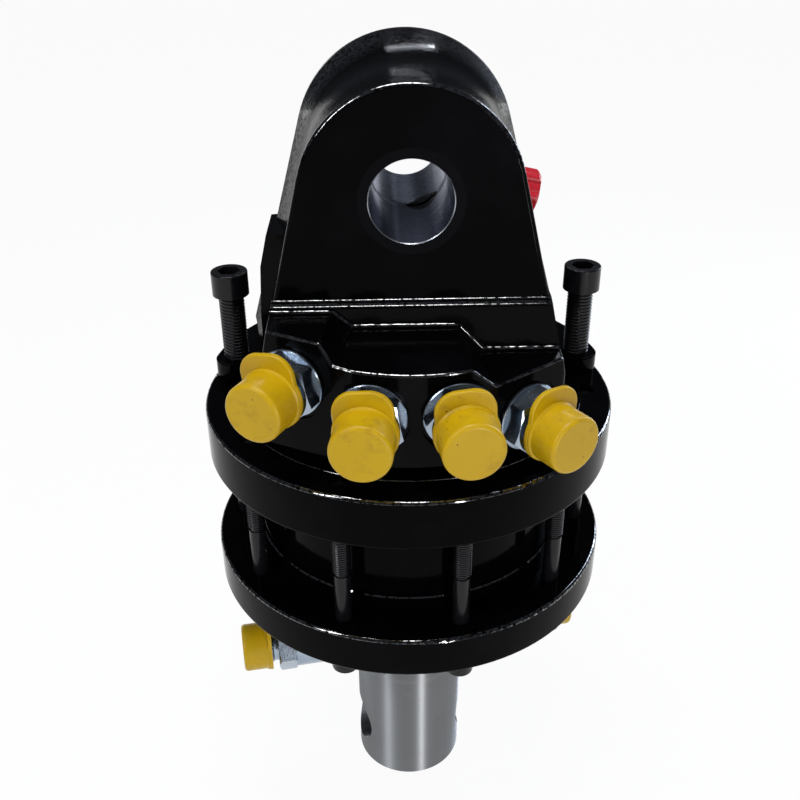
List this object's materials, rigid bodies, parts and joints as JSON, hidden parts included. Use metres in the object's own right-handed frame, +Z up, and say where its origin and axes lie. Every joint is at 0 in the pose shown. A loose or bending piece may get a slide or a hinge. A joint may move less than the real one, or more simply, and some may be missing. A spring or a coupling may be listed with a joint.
{
  "type": "grapple rotator",
  "caption": "Hydraulic grapple rotator: hanger lug casting with hose ports over a bolted vane motor, turning a bare pinned shaft that carries the grapple.",
  "frame": {"origin": "centre of the hanger pin bore, where the pin axis crosses the turning axis", "axes": "+Z up along the turning axis, +Y along the hanger pin towards the back, +X to the right; the four hose ports face -Y"},
  "size_m": [0.2, 0.2153, 0.411],
  "materials": {
    "black_paint_cast": "gloss black enamel over an as-cast surface",
    "black_paint": "gloss black enamel over machined steel",
    "honed_steel": "honed",
    "turned_steel": "fine turned",
    "zinc_plate": "bright zinc plate",
    "black_screw": "painted over black oxide",
    "bronze": "machined",
    "rubber": "matte",
    "yellow_plastic": "soft satin",
    "red_plastic": "satin"
  },
  "bodies": {
    "housing": {"upper_casting": "black_paint_cast", "front_bush": "honed_steel", "rear_bush": "honed_steel", "grease_nipple": "zinc_plate", "grease_nipple_cap": "red_plastic", "stator_ring": "black_paint", "lower_flange": "black_paint", "flange_bolts": "black_screw", "bolt_washers": "black_screw", "long_screw_left": "black_screw", "long_screw_right": "black_screw", "stator_dowels": "honed_steel", "upper_o_ring": "rubber", "lower_o_ring": "rubber", "upper_bush": "bronze", "lower_bush": "bronze", "spindle_seals": "rubber", "shaft_seal": "rubber", "thrust_race_fixed": "honed_steel", "port_seal_1": "zinc_plate", "port_seal_2": "zinc_plate", "port_seal_3": "zinc_plate", "port_seal_4": "zinc_plate", "port_adapter_1": "zinc_plate", "port_adapter_2": "zinc_plate", "port_adapter_3": "zinc_plate", "port_adapter_4": "zinc_plate", "port_cap_1": "yellow_plastic", "port_cap_2": "yellow_plastic", "port_cap_3": "yellow_plastic", "port_cap_4": "yellow_plastic"},
    "turning_shaft": {"output_shaft": "turned_steel", "vane_rotor": "honed_steel", "rotor_keys": "honed_steel", "vanes": "honed_steel", "vane_springs": "honed_steel", "thrust_race_turning": "honed_steel", "shaft_adapter_left": "zinc_plate", "shaft_adapter_right": "zinc_plate", "shaft_cap_left": "yellow_plastic", "shaft_cap_right": "yellow_plastic"},
    "bearing_cage": {"thrust_cage": "bronze", "thrust_balls": "honed_steel"}
  },
  "joints": [
    {"name": "shaft_spin", "type": "hinge", "parent": "housing", "child": "turning_shaft", "pos_m": [0, 0, -0.187], "axis": [0, 0, 1], "continuous": true},
    {"name": "cage_spin", "type": "hinge", "parent": "housing", "child": "bearing_cage", "pos_m": [0, 0, -0.187], "axis": [0, 0, 1], "continuous": true}
  ],
  "couplings": [
    {"joint": "cage_spin", "follows": "shaft_spin", "ratio": 0.5}
  ]
}
